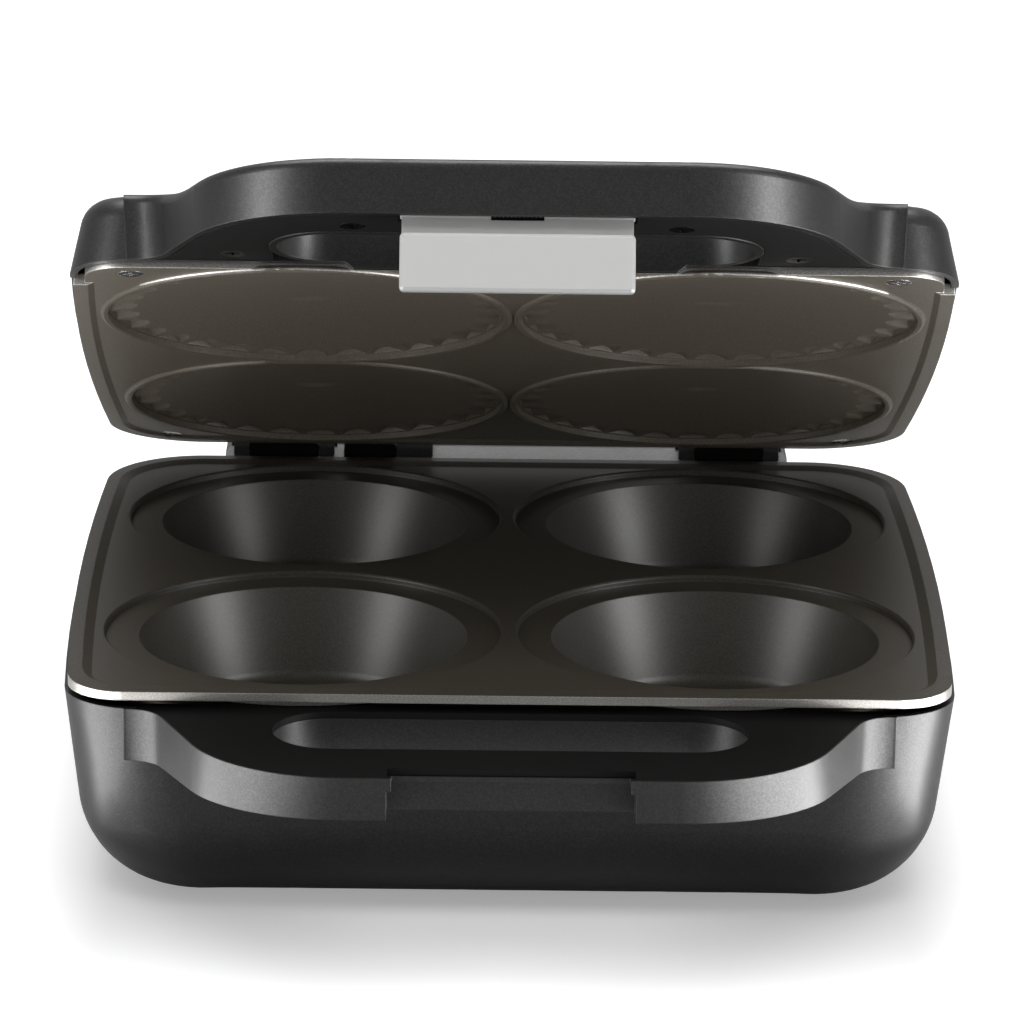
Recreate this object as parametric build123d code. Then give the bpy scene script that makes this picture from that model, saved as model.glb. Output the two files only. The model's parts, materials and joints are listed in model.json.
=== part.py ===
from build123d import *
from math import atan, cos, pi, radians, sin, sqrt, tan
import os

os.makedirs("parts", exist_ok=True)

# Electric pie maker with four wells, lid hinged along the back. Millimetres.
# Working frame: x to the right, y to the back from the front edge of the lower cooking plate,
# z up from the flat field of the lower cooking plate. The lid is drawn shut and turned at the end.

# cooking plates
plate_depth = 272.0
plate_half_front = 137.8
plate_half_middle = 142.9
plate_half_back = 139.6
plate_front_corner = 18.0
plate_back_corner = 34.0
plate_edge = 2.8
plate_wall = 3.0
border_height = 1.2
lid_border_height = 0.9
border_width = 4.4
border_slope = 3.1
border_taper_start = 2.0
border_taper_end = 22.0
lid_plate_inset = 0.8
lid_border_width = 4.5
lid_border_slope = 1.9
lid_border_start = 25.0
lid_front_inset = 3.6
lid_front_gap = 1.5
plate_gap = 0.3

# wells
well_pitch_x = 133.0
well_pitch_y = 132.0
well_front_y = 69.0
well_radius = 65.5
rim_round = 1.6
ledge_drop = 2.2
well_mouth = 53.0
well_depth = 32.0
well_floor_radius = 42.0
well_floor_round = 6.0
dome_mouth = 56.0
dome_ledge_drop = 1.0
dome_ledge_rise = 1.2
dome_rise = 6.2
lip_radius = 65.1
lip_round = 1.2
flute_count = 30
flute_radius = 9.0
flute_depth = 2.0
flute_inner = 54.0
flute_start = 1.3

# base housing
wall = 2.6
housing_reveal = 1.2
lid_reveal = 1.15
shadow_gap = 2.4
base_height = 75.0
base_draft = 5.5
base_edge_round = 33.0
base_low_corner = 47.0
base_corner = 22.0
housing_back_corner = 40.0
deck_start = 255.0
deck_depth = 29.2
deck_gap = 0.8
ridge_rise = 3.5
ridge_foot = 1.0
ridge_slope = 6.5
ridge_round = 6.0
hinge_block_half = 101.0
hinge_block_bevel = 2.0
shoulder_start = 200.0
shoulder_lip = 1.0
shoulder_fall = 40.0
shoulder_angle = 50.0
foot_radius = 9.0
foot_height = 6.0
foot_stand = 1.5
foot_stem_radius = 3.5
foot_x = 84.0
foot_front_y = 48.0
foot_back_y = 252.0

# handles
handle_reach = 65.5
lid_handle_setback = 1.5
handle_drop = 13.4
handle_fall = 4.0
handle_wall = 2.4
handle_line_x = 100.7
handle_line_y = -27.4
handle_line_angle = 67.5
handle_inner_round = 12.0
handle_outer_round = 50.0
handle_root_half = 120.4
cover_thickness = 2.2
cover_lip = 0.7
cover_sink = 0.2
cover_clearance = 0.15
cover_back_y = 5.0
post_radius = 3.4
post_low_z = -14.0
handle_screw_sink = 2.4
pan_head_height = 1.9
slot_half = 73.5
slot_width = 35.9
notch_half = 37.6
notch_depth = 12.0
catch_lip = 2.5
catch_height = 4.3

# lid housing
lid_wall = 2.5
lid_draft = 11.0
lid_crown = 36.5
lid_crown_radius = 810.0
lid_crown_bow = 4000.0
lid_crown_y = 140.0
lid_edge_round = 10.0
lid_handle_top = 19.0
lid_neck_rise = 6.1
handle_edge_round = 3.5
plate_clearance = 0.25
screw_post_radius = 4.5
lens_seat_z = 22.5
lid_rim_z = 1.4
lid_skirt_half = 50.0
lid_skirt_slope = 3.0
lid_skirt_drop = 0.7
lid_cover_recess = 0.3
lid_cover_thickness = 1.4
lid_cover_inset = 3.4

# hinge
hinge_back = 9.4
hinge_height = 3.75
knuckle_radius = 6.0
knuckle_start = 68.0
knuckle_width = 24.0
ear_width = 5.6
hinge_play = 0.4
pocket_play = 1.0
pocket_back_play = 3.2
pin_radius = 2.5
pin_clearance = 0.03
bush_wall = 1.1
lead_knuckle_start = 40.0
lead_knuckle_width = 18.0
lead_ear_width = 13.0
lead_sleeve_radius = 3.1
lead_sleeve_wall = 0.5
lead_play = 0.08
lead_radius = 2.0
arm_top = 17.5
rest_opening = 26.8

# latch
tab_width = 70.4
tab_drop = 22.0
tab_slab = 3.0
tab_step = 4.2
tab_neck = 2.2
tab_corner = 1.5
tab_neck_inset = 0.45
latch_back = 7.0
latch_rise = 4.8
latch_barrel = 3.3
latch_pin_radius = 1.5
latch_play = 0.05
spring_gap_half = 8.0
hook_drop = 12.4
hook_height = 3.0
hook_rest_gap = 0.4
spring_wire = 0.4
spring_turns = 11

# fasteners and inner pieces
screw_radius = 2.0
screw_head_radius = 4.0
screw_head_height = 1.8
plate_screw_x = 120.0
plate_screw_front_y = 13.0
plate_screw_back_y = 262.0
handle_screw_points = ((49.7, -46.0), (87.2, -8.8))
tie_side_x = 104.0
tie_front_y = 42.0
tie_back_y = 256.0
tie_post_radius = 5.0
tie_joint_drop = 24.0
element_radius = 3.25
element_half_x = 128.0
element_front_y = 9.0
element_back_y = 263.0
element_corner = 42.0
element_end_x = 20.0
element_leg = 14.0
lid_element_leg = 8.0
element_bend = 6.0
reflector_thickness = 0.8
reflector_drop = 42.0
reflector_half_x = 96.0
reflector_flange = 9.0
lid_reflector_rise = 20.0
lid_reflector_half_x = 118.0
cover_plate_half_x = 76.0
cover_plate_front_y = 66.0
cover_plate_back_y = 228.0
cover_plate_thickness = 2.0
vent_count = 9
vent_length = 60.0
vent_width = 4.0
gland_x = 62.0
gland_drop = 26.0
gland_radius = 7.0
gland_bore = 3.6
lens_radius = 3.2
lens_spacing = 22.0
lens_y = 22.0
wire_radius = 1.2
thermostat_radius = 8.0
terminal_y = 236.0
terminal_pitch = 9.0

# worked out
rad_draft = tan(radians(base_draft))
lid_rise = border_height + lid_border_height + plate_gap
housing_top = -plate_edge - shadow_gap
lid_cover_z = lid_rim_z + lid_cover_recess
housing_back = plate_depth + deck_gap + deck_depth
handle_bottom = housing_top - handle_drop
hinge_y = plate_depth + hinge_back
lid_axis_z = hinge_height - lid_rise
well_centres = [(sx * well_pitch_x / 2, well_front_y + row * well_pitch_y) for row in (0, 1) for sx in (-1, 1)]
front_face = -housing_reveal
well_mid_y = well_front_y + well_pitch_y / 2
latch_y = -handle_reach + lid_handle_setback + latch_back
hook_tip_y = -handle_reach + notch_depth - catch_lip - hook_rest_gap
lower_element_z = -plate_edge - 6.0
upper_element_z = plate_edge + 7.5
lead_exit_y = plate_depth - 7
lead_exit_z = lid_axis_z + 18
slot_radius = slot_width / 2
slot_y = front_face - slot_radius


def side_circle():
    # circle through the plate's half widths at front, middle and back
    x1, y1 = plate_half_front, 0.0
    x2, y2 = plate_half_middle, plate_depth / 2
    x3, y3 = plate_half_back, plate_depth
    a = x1 * (y2 - y3) - y1 * (x2 - x3) + x2 * y3 - x3 * y2
    s1, s2, s3 = x1 * x1 + y1 * y1, x2 * x2 + y2 * y2, x3 * x3 + y3 * y3
    cx = (s1 * (y2 - y3) + s2 * (y3 - y1) + s3 * (y1 - y2)) / (2 * a)
    cy = (s1 * (x3 - x2) + s2 * (x1 - x3) + s3 * (x2 - x1)) / (2 * a)
    return cx, cy, sqrt((x1 - cx) ** 2 + (y1 - cy) ** 2)


side_x, side_y, side_radius = side_circle()


def half_width(y, grow=0.0):
    return side_x + sqrt((side_radius + grow) ** 2 - (y - side_y) ** 2)


def plan(grow, back, front_corner, back_corner, z=0.0):
    # body outline: straight front and back, sides bowed outwards, four rounded corners
    y0, y1 = -grow, back
    hf, hb = half_width(y0, grow), half_width(y1, grow)
    hm = half_width((y0 + y1) / 2, grow)
    edges = [
        Line((-hf, y0), (hf, y0)),
        ThreePointArc((hf, y0), (hm, (y0 + y1) / 2), (hb, y1)),
        Line((hb, y1), (-hb, y1)),
        ThreePointArc((-hb, y1), (-hm, (y0 + y1) / 2), (-hf, y0)),
    ]
    face = make_face(edges)
    front = [v for v in face.vertices() if v.Y < plate_depth / 2]
    face = fillet(front, front_corner)
    rear = [v for v in face.vertices() if v.Y > y1 - 1e-3]
    face = fillet(rear, back_corner)
    return Pos(0, 0, z) * face


def plate_plan(grow=0.0, z=0.0):
    return plan(grow, plate_depth + grow, plate_front_corner + grow, plate_back_corner + grow, z)


def lid_plan(grow=0.0, z=0.0):
    # the upper plate is a little smaller all round than the lower one
    return plate_plan(grow - lid_plate_inset, z)


def handle_plan(reach, inner, lean=0.0):
    # band of the handle: front line, convex shoulder, slanted flank, concave root
    t = tan(radians(handle_line_angle))
    face_y = front_face + lean
    root_x = handle_line_x + (face_y - handle_line_y) / t
    nose_x = handle_line_x - (handle_line_y + reach) / t
    half = handle_root_half + lean / t
    pts = [(half, inner), (half, face_y), (root_x, face_y), (nose_x, -reach)]
    pts += [(-x, y) for x, y in reversed(pts)]
    face = make_face(Polyline(*pts, close=True))
    roots = [v for v in face.vertices() if abs(abs(v.X) - root_x) < 0.01 and abs(v.Y - face_y) < 0.01]
    face = fillet(roots, handle_inner_round)
    noses = [v for v in face.vertices() if abs(v.Y + reach) < 0.01]
    return fillet(noses, handle_outer_round)


def stadium(grow=0.0):
    return Pos(0, slot_y) * SlotOverall(2 * (slot_half + grow), slot_width + 2 * grow)


def block(x0, x1, y0, y1, z0, z1):
    return Pos((x0 + x1) / 2, (y0 + y1) / 2, (z0 + z1) / 2) * Box(x1 - x0, y1 - y0, z1 - z0)


def prism(face, z0, z1):
    return Pos(0, 0, z0) * extrude(face, z1 - z0)


def rod(x, y, z0, z1, radius):
    return Pos(x, y, (z0 + z1) / 2) * Cylinder(radius, z1 - z0)


def crossbar(x0, x1, y, z, radius):
    return Pos((x0 + x1) / 2, y, z) * Rot(0, 90, 0) * Cylinder(radius, x1 - x0)


def screw(x, y, head_z, length):
    # countersunk screw driven upwards, its head flush at head_z
    head = Cone(screw_head_radius, screw_radius, screw_head_height)
    recess = Box(0.9, 4.4, 1.0) + Box(4.4, 0.9, 1.0)
    body = Pos(0, 0, screw_head_height / 2) * head
    body += Pos(0, 0, length / 2) * Cylinder(screw_radius, length)
    body -= Pos(0, 0, 0.3) * recess
    return Pos(x, y, head_z) * body


# ---- cooking plates

def well_profile(points):
    face = make_face(Polyline(*points, close=True))
    return Plane.XZ * face


def border_ring(outer, width, slope, rise):
    # raised border round a plate, sloping down to the field inside
    top = offset(outer, -width)
    foot = offset(outer, -width - slope)
    ring = prism(outer, -0.5, rise)
    return ring - loft([foot, Pos(0, 0, rise) * top])


def border_taper():
    # the lower border sinks into the field round the two front corners
    start, end = border_taper_start, border_taper_end
    pts = ((start - 9, -1), (start, 0), (end, border_height), (end, 5), (400, 5), (400, -1))
    face = make_face(Polyline(*pts, close=True))
    return Pos(-200, 0, 0) * extrude(Plane.YZ * face, 400)


def lower_plate():
    body = prism(plate_plan(), -plate_edge, 0)
    body += border_ring(plate_plan(), border_width, border_slope, border_height) & border_taper()
    cup = [(0, -well_depth - plate_wall), (well_floor_radius + plate_wall, -well_depth - plate_wall),
           (well_mouth + plate_wall, -ledge_drop - plate_wall), (well_radius, -ledge_drop - plate_wall),
           (well_radius, -0.5), (0, -0.5)]
    bowl = [(0, -well_depth), (well_floor_radius, -well_depth), (well_mouth, -ledge_drop),
            (well_radius - rim_round, -ledge_drop), (well_radius - rim_round, -rim_round * 0.4),
            (well_radius, 1), (0, 1)]
    cup_body = revolve(well_profile(cup), Axis.Z)
    bowl_body = revolve(well_profile(bowl), Axis.Z)
    floor_edge = bowl_body.edges().group_by(Axis.Z)[0]
    bowl_body = fillet(floor_edge, well_floor_round)
    for x, y in well_centres:
        body += Pos(x, y) * cup_body
    for x, y in well_centres:
        body -= Pos(x, y) * bowl_body
    for x, y in tie_points():
        body += rod(x, y, -tie_joint_drop, -plate_edge + 0.5, tie_post_radius)
        body -= rod(x, y, -tie_joint_drop - 1, -plate_edge - 4, screw_radius)
    for pad in element_saddles(lower_element_z, -plate_edge + 0.5):
        body += pad
    return body - element_loop(lower_element_z, -1, element_leg)


def tie_points():
    return [(-tie_side_x, well_mid_y), (tie_side_x, well_mid_y), (0, tie_front_y), (0, tie_back_y)]


def flute_cutters():
    # concave flutes round the ring that press the pastry edge, running out where they meet the dome
    edge = well_radius - rim_round
    start = (flute_inner, 0, flute_start - flute_radius)
    end = (edge, 0, dome_ledge_drop + flute_depth - flute_radius)
    flute = bar(start, end, flute_radius)
    return [Rot(0, 0, 360 * (i + 0.5) / flute_count) * flute for i in range(flute_count)]


def dome_cap(radius, top, edge):
    # shallow cap of a large sphere with its crown at the given height
    return Pos(0, 0, top - radius) * Sphere(radius) & rod(0, 0, -1, top + 1, edge)


def upper_plate():
    # drawn with its field at z = 0 and the wells rising into the lid
    keep = block(-200, 200, lid_border_start, 400, -5, 20)
    full = prism(lid_plan(), 0, plate_edge) & keep
    front = prism(lid_plan(-lid_front_inset), 0, plate_edge)
    body = full + front
    ring = mirror(border_ring(lid_plan(), lid_border_width, lid_border_slope, lid_border_height), about=Plane.XY) & keep
    body += ring
    t = plate_wall
    edge = well_radius - rim_round
    cap_rise = dome_rise - dome_ledge_rise
    cap_radius = (dome_mouth ** 2 + cap_rise ** 2) / (2 * cap_rise)
    top = dome_ledge_rise + flute_depth + t
    shell_body = rod(0, 0, 0.5, top, well_radius) + dome_cap(cap_radius + t, dome_rise + t, well_radius)
    shell_body += Torus(lip_radius, lip_round)
    hollow = [(0, dome_ledge_rise), (dome_mouth, dome_ledge_rise), (edge, dome_ledge_drop), (edge, -2), (0, -2)]
    hollow_body = revolve(well_profile(hollow), Axis.Z) + dome_cap(cap_radius, dome_rise, dome_mouth)
    for x, y in well_centres:
        body += Pos(x, y) * shell_body
    for x, y in well_centres:
        body -= Pos(x, y) * hollow_body
        body -= [Pos(x, y) * flute for flute in flute_cutters()]
    for x, y in reflector_points():
        body += rod(x, y, plate_edge - 0.5, lid_reflector_rise, tie_post_radius)
        body -= rod(x, y, lid_reflector_rise - 8, lid_reflector_rise + 1, screw_radius * 0.6)
    for x, y in plate_screw_points():
        sink = Cone(screw_radius + 0.3, screw_head_radius + 0.4, screw_head_height + 0.6)
        body -= Pos(x, y, screw_head_height / 2) * Rot(180, 0, 0) * sink
        body -= rod(x, y, -1, plate_edge + 1, screw_radius + 0.2)
    for pad in element_saddles(upper_element_z, plate_edge - 0.5):
        body += pad
    return body - element_loop(upper_element_z, 1, lid_element_leg)


def plate_screw_points():
    return [(sx * plate_screw_x, y) for y in (plate_screw_front_y, plate_screw_back_y) for sx in (-1, 1)]


def reflector_points():
    return [(0, well_mid_y), (-tie_side_x - 8, well_mid_y), (tie_side_x + 8, well_mid_y)]


# ---- base housing

def tub(inset, z_top, edge_round):
    # drafted bowl outline from z_top down to the floor, inset by a wall thickness
    z_low = -base_height + inset
    top_grow = housing_reveal - inset + (z_top - housing_top) * rad_draft
    low_grow = housing_reveal - inset - (housing_top - z_low) * rad_draft
    back = housing_back - housing_reveal
    top = plan(top_grow, back + top_grow, base_corner - inset, housing_back_corner - inset, z_top)
    low = plan(low_grow, back + low_grow, base_low_corner - inset, base_low_corner - inset, z_low)
    body = loft([low, top])
    return fillet(body.edges().group_by(Axis.Z)[0], edge_round)


def deck_keep(grow, z_top):
    # the deck stays behind the plate, above the rim of the tub
    gap = prism(plate_plan(deck_gap + grow), housing_top, z_top + 1)
    front = block(-200, 200, -200, deck_start + grow, housing_top, z_top + 1)
    return gap + front


def ridge_cut():
    foot = plate_depth + deck_gap + ridge_foot
    pts = ((200, 0), (foot, 0), (foot + ridge_slope, ridge_rise), (foot + ridge_slope, 20), (200, 20))
    face = make_face(Polyline(*pts, close=True))
    return Pos(-200, 0, 0) * extrude(Plane.YZ * face, 400)


def hinge_block(trim):
    # full height part of the deck that carries the hinge, between the two shoulders
    half, top = hinge_block_half - trim, ridge_rise - trim
    right = [(half + 2, -base_height), (half, top - hinge_block_bevel), (half - hinge_block_bevel, top), (half - hinge_block_bevel, 30)]
    face = make_face(Polyline(*right, *[(-x, z) for x, z in reversed(right)], close=True))
    return Pos(0, 400, 0) * extrude(Plane.XZ * face, 400 - shoulder_start + 10)


def shoulder_cut(trim):
    # behind the plate's rear corners the housing falls away steeply, beside the hinge block
    near = deck_gap + shoulder_lip - trim
    far = near + shoulder_fall / tan(radians(shoulder_angle))
    keep = loft([plate_plan(far, -shoulder_fall), plate_plan(near, 0)])
    cut = block(-200, 200, shoulder_start, 400, -shoulder_fall, 30) - keep
    return cut - hinge_block(trim)


def base_handle_shape(inset, floor_lift, z_top):
    face = handle_plan(handle_reach, front_face + 8)
    if inset:
        face = offset(face, -inset)
    body = prism(face, handle_bottom - 8, z_top)
    low = handle_bottom + floor_lift
    slope = ((-100, low), (-handle_reach, low), (front_face + 10, low - handle_fall))
    face = make_face(Polyline(*slope, (front_face + 10, low - 40), (-100, low - 40), close=True))
    return body - Pos(-200, 0, 0) * extrude(Plane.YZ * face, 400)


def cover_plan(edge, grow=0.0):
    # outline of the lower handle cover, reaching back under the plate's front edge
    face = offset(handle_plan(handle_reach, cover_back_y + 8), -edge + grow)
    keep = Pos(0, (cover_back_y + grow) / 2 - 100) * Rectangle(2 * handle_root_half - 8 + 2 * grow, 200 + cover_back_y + grow)
    return face & keep


def base_handle_cover():
    z_top = housing_top - cover_sink
    body = prism(cover_plan(cover_lip), z_top - cover_thickness, z_top)
    for x, y in base_post_points():
        body += rod(x, y, post_low_z, z_top - 0.5, post_radius)
        body -= rod(x, y, post_low_z - 1, z_top - cover_thickness, screw_radius)
    body -= prism(stadium(), -60, 20)
    notch = block(-notch_half, notch_half, -100, -handle_reach + notch_depth - catch_lip + cover_lip, -60, 20)
    return body - notch


def handle_low(y):
    # underside of the lower handle, falling towards the body
    return handle_bottom - handle_fall * (y + handle_reach) / (front_face + 10 + handle_reach)


def base_post_points():
    return [(sx * x, y) for x, y in handle_screw_points for sx in (-1, 1)]


def notch_cutters():
    back = -handle_reach + notch_depth
    lip_low = housing_top - catch_height
    low = block(-notch_half, notch_half, -100, back, -60, lip_low)
    high = block(-notch_half + 1.5, notch_half - 1.5, -100, back - catch_lip, lip_low - 1, 20)
    return low, high


def base_housing():
    body = tub(0, ridge_rise, base_edge_round)
    body = fillet(body.edges().group_by(Axis.Z)[-1], ridge_round)
    body -= deck_keep(0, ridge_rise)
    body -= ridge_cut()
    body -= shoulder_cut(0)
    body += base_handle_shape(0, 0, housing_top)
    hollow = tub(wall, ridge_rise - wall, base_edge_round - wall)
    hollow = fillet(hollow.edges().group_by(Axis.Z)[-1], ridge_round - wall)
    hollow -= block(-200, 200, -200, deck_start + wall, housing_top + 0.01, 20)
    lip = plate_plan(deck_gap + wall) - plate_plan(deck_gap)
    band = prism(lip, -10, 20) & block(-200, 200, deck_start, 400, -10, 20)
    hollow -= band
    slope_skin = ridge_cut().moved(Pos(0, wall, -wall)) & block(-200, 200, deck_start, 400, -wall, 20)
    hollow -= slope_skin
    hollow -= shoulder_cut(wall / sin(radians(shoulder_angle)))
    body -= hollow
    # hollow handle with a skin below, a sleeve round the finger slot and a wall behind the notch
    inner = base_handle_shape(handle_wall, handle_wall, housing_top + 1)
    inner &= block(-200, 200, -100, front_face, -60, 20)
    inner -= prism(stadium(handle_wall), -60, 20)
    notch_back = -handle_reach + notch_depth
    inner -= block(-notch_half - handle_wall, notch_half + handle_wall, -100, notch_back + handle_wall, -60, 20)
    body -= inner
    for cutter in notch_cutters():
        body -= cutter
    body -= prism(stadium(), -60, 20)
    body -= prism(cover_plan(cover_lip, cover_clearance), housing_top - cover_sink - cover_thickness, 0)
    for x, y in base_post_points():
        low = handle_low(y)
        body += rod(x, y, low + 0.8, post_low_z, screw_head_radius + 1.6)
        body -= rod(x, y, -60, post_low_z + 1, screw_radius + 0.2)
        body -= rod(x, y, -60, low + handle_screw_sink, screw_head_radius + 0.4)
    body = add_hinge_seats(body)
    body = add_floor(body)
    return body


def add_hinge_seats(body):
    # pockets in the deck for the turning knuckles, with an ear on each side
    pocket_back = hinge_y + knuckle_radius + pocket_back_play
    floor_z = hinge_height - knuckle_radius - pocket_play
    for x0, x1 in knuckle_spans() + [lead_span()]:
        lining = block(x0 - ear_width - hinge_play, x1 + ear_width + hinge_play, plate_depth + deck_gap,
                       pocket_back + wall, floor_z - wall, ridge_rise)
        lining -= ridge_cut()
        body += lining
    for x0, x1 in knuckle_spans() + [lead_span()]:
        body -= block(x0 - hinge_play, x1 + hinge_play, plate_depth - 4, pocket_back, floor_z, 20)
    for x0, x1 in ear_spans():
        ear = crossbar(x0, x1, hinge_y, hinge_height, knuckle_radius)
        ear += block(x0, x1, hinge_y - knuckle_radius, hinge_y + knuckle_radius, floor_z, hinge_height)
        body += ear
        radius = lead_sleeve_radius if lead_span()[1] <= x0 < 0 else pin_radius
        body -= crossbar(x0 - 1, x1 + 1 if radius == pin_radius else x1 - 3, hinge_y, hinge_height, radius)
    x = lead_drop_x()
    body -= rod(x, hinge_y, floor_z - 2 * wall, hinge_height, lead_sleeve_radius)
    return body


def knuckle_spans():
    near, far = knuckle_start, knuckle_start + knuckle_width
    return [(-far, -near), (near, far)]


def lead_span():
    return -lead_knuckle_start - lead_knuckle_width, -lead_knuckle_start


def lead_drop_x():
    return -lead_knuckle_start + hinge_play + lead_ear_width - 6.5


def ear_spans():
    spans = []
    for x0, x1 in knuckle_spans():
        spans.append((x0 - hinge_play - ear_width, x0 - hinge_play))
        spans.append((x1 + hinge_play, x1 + hinge_play + ear_width))
    spans.append((lead_span()[1] + hinge_play, lead_span()[1] + hinge_play + lead_ear_width))
    return spans


def add_floor(body):
    floor = -base_height + wall
    for x, y in tie_points():
        body += rod(x, y, floor - 0.5, -tie_joint_drop, tie_post_radius + 1)
        body -= rod(x, y, -base_height + 8, -tie_joint_drop + 1, screw_radius + 0.2)
        body -= rod(x, y, -base_height - 1, -base_height + 8, screw_head_radius + 0.6)
    for x, y in foot_points():
        body -= rod(x, y, -base_height - 1, floor + 1, foot_stem_radius)
    for x, y in reflector_post_points():
        body += rod(x, y, floor - 0.5, -reflector_drop - reflector_thickness, 4)
        body -= rod(x, y, -reflector_drop - 12, -reflector_drop, 1.2)
    seat = block(-cover_plate_half_x, cover_plate_half_x, cover_plate_front_y, cover_plate_back_y,
                 -base_height - 1, -base_height + cover_plate_thickness * 0.5)
    opening = block(-cover_plate_half_x + 6, cover_plate_half_x - 6, cover_plate_front_y + 6,
                    cover_plate_back_y - 6, -base_height - 1, floor + 1)
    body -= seat
    body -= opening
    for x, y in cover_screw_points():
        body += rod(x, y, -base_height + cover_plate_thickness * 0.5, floor + 6, 3)
        body -= rod(x, y, -base_height - 1, -base_height + 8.2, 1.4)
    y = housing_back - 6
    body -= Pos(gland_x, y, -gland_drop) * Rot(90, 0, 0) * Cylinder(gland_radius, 30)
    return body


def foot_points():
    return [(sx * foot_x, y) for y in (foot_front_y, foot_back_y) for sx in (-1, 1)]


def reflector_post_points():
    return [(sx * 88, y) for y in (72, 232) for sx in (-1, 1)]


def cover_screw_points():
    y0, y1 = cover_plate_front_y + 3, cover_plate_back_y - 3
    return [(sx * (cover_plate_half_x - 12), y) for y in (y0, y1) for sx in (-1, 1)]


# ---- lid housing, drawn shut with the upper plate's field at z = 0

def crown(drop=0.0):
    # everything below the gently domed top of the lid
    top = lid_crown - drop
    radius = lid_crown_radius - drop
    ys = (-120, lid_crown_y, 420)
    zs = [top - radius + sqrt(radius ** 2 - (y - lid_crown_y) ** 2) for y in ys]
    arc = ThreePointArc((ys[0], zs[0]), (ys[1], zs[1]), (ys[2], zs[2]))
    sides = Polyline((ys[2], zs[2]), (ys[2], -60), (ys[0], -60), (ys[0], zs[0]))
    face = Plane.YZ * make_face([arc, sides])
    axis = Axis((0, 0, top - lid_crown_bow), (0, 1, 0))
    return revolve(face.rotate(axis, -3), axis, 6)


def lid_body(inset):
    lean = tan(radians(lid_draft))
    z0, z1 = lid_rim_z - (3 if inset else 0), 45.0
    g0, g1 = [lid_reveal - lid_plate_inset - inset - (z - lid_rim_z) * lean for z in (z0, z1)]
    faces = []
    for g, z in ((g0, z0), (g1, z1)):
        faces.append(plan(g, plate_depth + g, plate_front_corner + g + 3, plate_back_corner + g, z))
    body = loft(faces) & crown(inset)
    rim = [e for e in body.edges() if e.bounding_box().min.Z > 5 and not is_upright(e)]
    return fillet(rim, lid_edge_round - inset)


def is_upright(edge):
    box = edge.bounding_box()
    return box.max.Z - box.min.Z > 15


def lid_handle_shape(inset, inner_y):
    reach = handle_reach - lid_handle_setback
    low, high = lid_rim_z - (3 if inset else 0), 40
    face = handle_plan(reach, inner_y)
    if inset:
        body = prism(offset(face, -inset), low, high)
    else:
        leaning = handle_plan(reach, inner_y, (high - low) * tan(radians(lid_draft)))
        body = loft([Pos(0, 0, low) * face, Pos(0, 0, high) * leaning], ruled=True)
    top = lid_handle_top - inset
    flat = Line((-100, top), (-26, top))
    high = top + lid_neck_rise
    rise = Spline((-26, top), (-14, top + 0.7), (-2, top + 3.0), (12, high), tangents=((1, 0), (1, 0.26)))
    rest = Polyline((12, high), (30, high + 3.4), (30, -20), (-100, -20), (-100, top))
    body &= Pos(-200, 0, 0) * extrude(Plane.YZ * make_face([flat, rise, rest]), 400)
    if inset:
        return body
    rim = [e for e in body.edges() if e.bounding_box().min.Z > 10 and e.bounding_box().max.Y < 11.9]
    rim = [e for e in rim if not is_upright(e) or e.bounding_box().size.Y > 15]
    return fillet(rim, handle_edge_round)


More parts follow.
